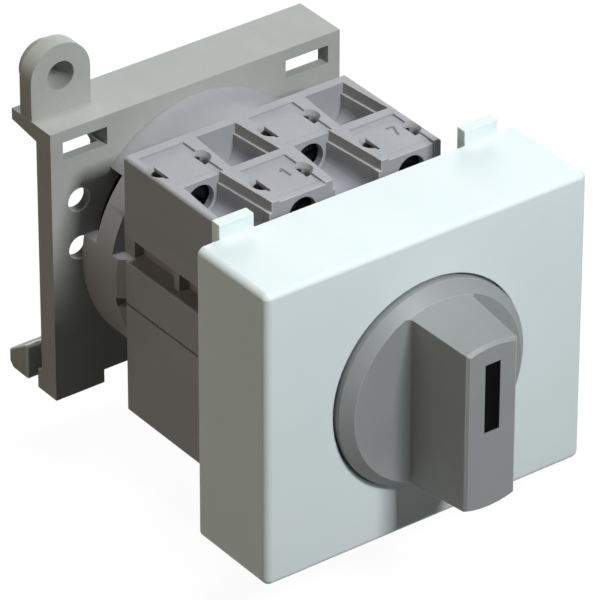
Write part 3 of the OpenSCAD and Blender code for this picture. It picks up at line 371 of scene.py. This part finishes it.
def numeral(figure, x, side):
    """A half-sunk round ridge carried along a figure's strokes: points are spaced evenly by length along
    the broken line, then placed on the roof at z = side * roof_z, with the figure's head towards +Y
    above and -Y below."""
    bends = np.array(numeral_strokes[figure])
    run = np.concatenate([[0], np.cumsum(np.linalg.norm(np.diff(bends, axis=0), axis=1))])
    even = np.linspace(0, run[-1], 60)
    flat = numeral_tall * np.stack([np.interp(even, run, bends[:, k]) - (0.3, 0.5)[k] for k in (0, 1)], -1)
    line = np.stack([x + flat[:, 0], -numeral_depth + side * flat[:, 1],
                     np.full(even.size, side * roof_z)], -1)
    ahead = directions(line)
    sideways = np.stack([-ahead[:, 1], ahead[:, 0], ahead[:, 2]], -1)
    up = np.tile([0.0, 0.0, 1.0], (even.size, 1))
    return MM * carried(line, sideways, up, stroke_half, stroke_proud, around=10)


# The numerals are the housing's polyamide, drawn darker than it: painted shade for the shadows round
# moulded figures, so that they can be read.
shade_darkened_numerals = moulded("shade_darkened_numeral_polyamide", "85868a", "7a7b7f", 0.45, 0.26, 0.009, 5.0)
numeral_places = (("1", -3.1, 1), ("7", 14.9, 1), ("2", -3.1, -1), ("8", 14.9, -1))
formed("terminal_numerals", [numeral(figure, x, side) for figure, x, side in numeral_places],
       shade_darkened_numerals, "housing")


# Terminals and fixed contacts: each stage has four contacts stamped from brass strip, and on each
# a clamp plate and a slotted M3 screw of plated steel. The screws stand in the stage's wells.

# Stamped brass is warm yellow, duller and browner in patches. Zinc plating is a cool light grey. The
# terminal screws are drawn a dull blue-black, painted shade that makes them look dark in their wells.
stamped_brass = metal("stamped_brass", "d9b878", "b38d4f", 0.32, 0.3)
zinc_plate = metal("zinc_plated_steel", "cfd2d4", "a9adb2", 0.34, 0.2)
well_shade_zinc = metal("well_shade_blue_black_zinc", "47494c", "232527", 0.42, 0.2)


def slotted_head(radius, height, slot_w, slot_d):
    """Cheese head standing on w = 0: lines across the slot at x, each trimmed to the round rim by
    y = v * sqrt(R^2 - x^2), with the top at height - 0.12 * (r/R)^8, lowered by slot_d inside the slot.
    A wall and an underside close it."""
    lip, far = slot_w / 2 + 0.05, np.linspace(0, 1, 12)
    outer = lip + (radius - lip) * np.sin(far * math.pi / 2)
    x = np.concatenate([-outer[::-1], [-slot_w / 2, 0.0, slot_w / 2], outer])
    sunk = np.concatenate([np.zeros(12), np.full(3, slot_d), np.zeros(12)])
    v = np.sin(np.linspace(-math.pi / 2, math.pi / 2, 23))
    y = v[None] * np.sqrt(np.maximum(radius ** 2 - x ** 2, 0))[:, None]
    wide = np.repeat(x[:, None], v.size, 1)
    top = height - 0.12 * ((wide ** 2 + y ** 2) / radius ** 2) ** 4 - sunk[:, None]
    upper = np.stack([wide, y, top], -1)
    lower = np.stack([wide, y, np.zeros_like(y)], -1)
    return [upper, lower] + [np.stack([upper[:, end], lower[:, end]], 1) for end in (0, -1)]


def threaded_rod(radius, thread, pitch, low, high, plain_from, around=28):
    """Rolled thread: at angle t and height w the radius is R - thread * |2 * frac(w/pitch - t/2pi) - 1|.
    The groove fades over one pitch at the tip, which tapers by 0.6 of its depth, and into the plain
    shank, and both ends close on the axis."""
    w = np.linspace(low, high, max(int((high - low) / pitch * 8), 12))[:, None]
    t = np.linspace(0, 2 * math.pi, around + 1)[None]
    fade = np.clip((w - low) / pitch, 0, 1) * np.clip((plain_from - w) / pitch, 0, 1)
    wave = np.abs(2 * np.mod(w / pitch - t / (2 * math.pi), 1) - 1)
    r = radius - thread * (wave * fade + 0.6 * np.clip(1 - (w - low) / pitch, 0, 1))
    grid = np.stack([r * np.cos(t), r * np.sin(t), np.broadcast_to(w, r.shape)], -1)
    caps = [np.broadcast_to(np.array([0.0, 0.0, end]), (1, around + 1, 3)) for end in (low, high)]
    return [np.concatenate([caps[0], grid, caps[1]])]


def stood(grids, x, z, depth, turn=0.0):
    """Grids in (u, v, w) turned about w and stood at x and z, with w running forward from the depth:
    (x + u, -depth - w, z + v)."""
    c, s = math.cos(turn), math.sin(turn)
    return [MM * np.stack([x + c * g[..., 0] - s * g[..., 1], -depth - g[..., 2],
                           z + s * g[..., 0] + c * g[..., 1]], -1) for g in grids]


# The rear stage's four terminals as x and z. The front stage is the same turned half round, so its flip
# is -1. Each screw's head stands 7.4 mm forward of the stage's back, with its slot at an angle of its own.
terminal_places = ((-13.5, 16.8), (4.5, 16.8), (-13.5, -16.8), (4.5, -16.8))
head_rise, thread_r, thread_deep, thread_pitch = 7.4, 1.44, 0.22, 0.5
terminal_head = slotted_head(2.2, 1.75, 0.6, 0.6)
terminal_thread = threaded_rod(thread_r, thread_deep, thread_pitch, 2.3, head_rise, head_rise - 0.2)
for stage, flip in (("rear", 1), ("front", -1)):
    eased(stage + "_fixed_contacts", 0.08, stamped_brass)
    eased(stage + "_clamp_plates", 0.1, zinc_plate)
    screws = []
    for n, (column, z) in enumerate(terminal_places):
        slot_turn = 0.35 + 0.8 * n + 0.5 * flip
        screws += stood(terminal_head, flip * column, flip * z, stage_depth[stage] + head_rise, slot_turn)
        screws += stood(terminal_thread, flip * column, flip * z, stage_depth[stage])
    # The terminal screws take the blue-black of painted shade, so their wells look dark.
    formed(stage + "_slotted_screws", screws, well_shade_zinc, "housing",
           stage + "_terminal_screws")


# Cams and carriages: in each stage an acetal cam on the shaft lifts two acetal plungers.
# Each plunger carries a brass bridge, and a coil spring pushes it back towards the cam.

# The springs' seats in the wall and on the bridge, measured from the shaft, and how far forward of the
# stage's back they lie.
coil_seat, coil_bridge, coil_rise = 16.93, 11.87, 5.4
coil_radius, wire_radius, coil_turns = 1.9, 0.24, 5.2


def coil_wire(seat, bridge, y):
    """Compression spring: with s from 0 to 1 the wire's middle turns about the spring's axis by
    coil_turns * s and runs from seat to bridge, slower over its first and last turn so that these lie
    closed. Each end is ground flat where the wire would pass the seat or the bridge."""
    s = np.linspace(0, 1, 241)
    rise = np.interp(s, [0, 0.19, 0.81, 1], [0.0, 0.1, 0.9, 1.0])
    along = seat + (bridge - seat) * (0.045 + 0.91 * rise)
    angle = 2 * math.pi * coil_turns * s
    out = np.stack([np.zeros_like(s), np.cos(angle), np.sin(angle)], -1)
    line = np.stack([along, np.full(s.size, y), np.zeros(s.size)], -1) + coil_radius * out
    axial = np.tile([1.0, 0.0, 0.0], (s.size, 1))
    grid = carried(line, out, axial, wire_radius, wire_radius, around=10)
    grid[..., 0] = np.clip(grid[..., 0], min(seat, bridge), max(seat, bridge))
    return MM * grid


for stage in stage_depth:
    eased(f"{stage}_cam", 0.1, natural_acetal)
    for side, way in (("left", -1), ("right", 1)):
        eased(f"{stage}_{side}_plunger", 0.1, natural_acetal)
        eased(f"{stage}_{side}_bridge", 0.08, stamped_brass)
        y = -stage_depth[stage] - coil_rise
        coil = formed(f"{stage}_{side}_coil_spring", [coil_wire(way * coil_seat, way * coil_bridge, y)],
                      spring_steel, None, f"{stage}_{side}_spring")
        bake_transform(coil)


# Shaft, its clip and the tie screws: a square shaft of drawn steel runs from the knob to the detent.
# Two long slotted screws, with nuts let into the plate's back, clamp the stack to the base plate.

# Bright drawn steel is a mid grey, with fine lines drawn out twenty times along the shaft.
bright_steel = metal("bright_drawn_steel", "c4c6c8", "8f9296", 0.26, 0.12, (1, 0.05, 1))
eased("square_shaft", 0.25, bright_steel)
eased("shaft_clip", 0.1, spring_steel)
tie_head_depth, tie_z = 36.0, 11.2
tie_head = slotted_head(2.6, 1.9, 0.7, 1.0)
tie_thread = threaded_rod(thread_r, thread_deep, thread_pitch, 0.1, tie_head_depth, 9.0)
tie = []
for z in (-tie_z, tie_z):
    tie += stood(tie_head, 0, z, tie_head_depth, 0.4 * z) + stood(tie_thread, 0, z, 0)
formed("slotted_tie_screws", tie, zinc_plate, "housing", "tie_screws")
eased("tie_nuts", 0.15, zinc_plate)


# Cover frame and front cover: the frame is dark like the stages, the cover is cool white ABS.
# The cover's skin is satin from a finely eroded tool, with rounded outer edges.

# Satin ABS is a faint blue-green white, almost even in tone, and shinier on its edges, which are also
# drawn a touch paler as a painted highlight.
cover_abs = moulded("white_satin_abs", "e7f0ee", "dce7e5", 0.42, 0.35, 0.014, 16.0)
highlight_edge_cover = moulded("highlight_edge_white_abs", "e9f1ef", "e2ebe9", 0.36, 0.35, 0.003, 16.0, gloss=0.4)
eased("cover_frame", 0.2, housing_polyamide, edge_highlight=highlight_edge_housing)
eased("front_cover", 0.3, cover_abs, edge_highlight=highlight_edge_cover)


# Knob: mid grey ABS with a bevelled skirt and a bar handle, held on the shaft by a steel clip.
# A black inlay pressed into the handle's front points to the position.

# Grained ABS is dull on its faces. The edges that fingers turn it by are drawn paler, a painted
# highlight, and are shinier. The inlay is a deep black that reflects almost nothing.
knob_abs = moulded("grey_grained_abs", "999b9a", "8c8e8d", 0.46, 0.34, 0.045, 9.0, gloss=0.3)
black_inlay = moulded("black_satin_abs", "050505", "080808", 0.6, 0.3, 0.004, 5.0, gloss=0.03)
highlight_edge_knob = moulded("highlight_edge_grey_abs", "a3a5a5", "9c9e9e", 0.34, 0.28, 0.006, 9.0, gloss=0.5)
eased("knob", 0.3, knob_abs, edge_highlight=highlight_edge_knob)
eased("inlay", 0.08, black_inlay)
eased("knob_clip", 0.08, spring_steel)


# Floor: a pale sheet of paper just under the lowest eye, curved up far behind.
# It looks white to the camera and in reflections, and still takes the object's faint shadow.

floor_z = cad_box[0][2] - 0.02 * MM


def sweep_floor(half=3.2, back=1.1, lift=1.4, radius=0.5, steps=24):
    """A flat sheet that bends up through a quarter circle at its rear, then rises straight: along the arc
    y = back + radius * sin(t) and z = floor + radius * (1 - cos(t))."""
    arc = np.linspace(0, math.pi / 2, steps)
    y = np.concatenate([[-half], back + radius * np.sin(arc), [back + radius]])
    z = floor_z + np.concatenate([[0], radius * (1 - np.cos(arc)), [lift]])
    x = np.array([-half, half])
    grid = np.stack([np.repeat(x[:, None], y.size, 1), np.tile(y, (2, 1)), np.tile(z, (2, 1))], -1)
    n = y.size
    i = np.arange(n - 1)
    mesh = bpy.data.meshes.new("floor_sheet")
    mesh.from_pydata(grid.reshape(-1, 3).tolist(), [], np.stack([i, i + n, i + n + 1, i + 1], -1).tolist())
    mesh.shade_smooth()
    piece = bpy.data.objects.new("floor_sheet", mesh)
    bpy.context.scene.collection.objects.link(piece)
    return piece


# Matt paper with a faint mottle of 1 mm fibres. It is dark to the lamps, so that it throws no light on
# the object, and glows white for the camera and in reflections.
floor_paper, shader = new_finish("pale_paper")
ray = add(floor_paper, "ShaderNodeLightPath")
place = add(floor_paper, "ShaderNodeTexCoord").outputs["Object"]
fibre = add(floor_paper, "ShaderNodeTexNoise", {"Vector": place, "Scale": 0.9 / MM, "Detail": 4.0})
pale = add(floor_paper, "ShaderNodeMapRange", {0: fibre.outputs[0], 1: 0.0, 2: 1.0, 3: 0.04, 4: 0.05})
floor_paper.node_tree.links.new(pale.outputs[0], shader.inputs["Base Color"])
shader.inputs["Roughness"].default_value = 0.9
seen = add(floor_paper, "ShaderNodeMath", {
    0: ray.outputs["Is Camera Ray"], 1: ray.outputs["Is Glossy Ray"]}, operation="MAXIMUM")
glow = add(floor_paper, "ShaderNodeMath", {0: seen.outputs[0], 1: 0.955}, operation="MULTIPLY")
floor_paper.node_tree.links.new(glow.outputs[0], shader.inputs["Emission Strength"])
shader.inputs["Emission Color"].default_value = (1, 1, 1, 1)
floor = sweep_floor()
floor.data.materials.append(floor_paper)


# Light: a near lamp in front and 42 degrees up, which throws the cover's shadow on the lower plate,
# and a lamp overhead. Weak ones fill the left side, the front from low down, and the back.

def lamp(name, place, aim, size, watts, tint="ffffff"):
    """A square area lamp of the tint, at place, that shines towards aim."""
    light = bpy.data.lights.new(name, "AREA")
    light.color = linear(tint)[:3]
    light.size = size
    light.energy = watts
    made = bpy.data.objects.new(name, light)
    bpy.context.scene.collection.objects.link(made)
    made.location = place
    x, y, z = np.array(place) - np.array(aim)
    made.rotation_euler = (math.atan2(math.hypot(x, y), z), 0, math.atan2(x, -y))


# The low front lamp is half sunk in the floor, so only its upper half lights the front.
lamp("key", (0.043, -0.354, 0.281), (0, -0.045, 0), 0.085, 1.5, "f7fbff")
lamp("overhead", (0.0, 0.02, 0.8), (0, -0.02, 0), 0.2, 2.85, "f7fbff")
lamp("left_fill", (-0.38, -0.01, 0.17), (0, -0.03, 0), 0.16, 0.24, "fbecca")
lamp("low_front_fill", (0.12, -0.95, -0.06), (0, -0.03, 0), 0.3, 0.35)
lamp("rear_fill", (0.5, 0.75, 0.12), (0, -0.03, 0), 0.5, 4.5)
# The world is white to the camera and gives the object almost no light.
world = bpy.data.worlds.new("light_tent")
bpy.context.scene.world = world
world.use_nodes = True
sky = world.node_tree.nodes["Background"]
sky.inputs["Color"].default_value = (1, 1, 1, 1)
ray = add(world, "ShaderNodeLightPath")
level = add(world, "ShaderNodeMapRange", {0: ray.outputs["Is Camera Ray"], 3: 0.012, 4: 1.0})
world.node_tree.links.new(level.outputs[0], sky.inputs["Strength"])


# Camera: fitted to the photograph by its corner points, with the image taken as 600 by 600.
# It stands 0.82 m away, to the left of the front and 32 degrees above it, with a long lens.

focal_px, azimuth, elevation, roll = 6012.4, -36.557, 32.213, 0.086
shift_x, shift_z, distance = -15.925, 13.078, 824.685
image_px, sensor_mm = 600.0, 36.0
a, e, r = np.radians([azimuth, elevation, roll])
back = np.array([np.sin(a) * np.cos(e), -np.cos(a) * np.cos(e), np.sin(e)])
right = np.array([np.cos(a), np.sin(a), 0.0])
axes = np.array([right, np.cross(back, right), back])
axes = np.array([[np.cos(r), np.sin(r), 0], [-np.sin(r), np.cos(r), 0], [0, 0, 1]]) @ axes
lens = bpy.data.cameras.new("camera")
lens.sensor_width = sensor_mm
lens.lens = focal_px * sensor_mm / image_px
lens.clip_start = 0.05
lens.clip_end = 20.0
camera = bpy.data.objects.new("camera", lens)
bpy.context.scene.collection.objects.link(camera)
pose = np.eye(4)
pose[:3, :3] = axes.T
pose[:3, 3] = -axes.T @ np.array([shift_x, shift_z, -distance]) * MM
camera.matrix_world = Matrix(pose.tolist())
bpy.context.scene.camera = camera
bpy.context.scene.view_settings.view_transform = "Standard"
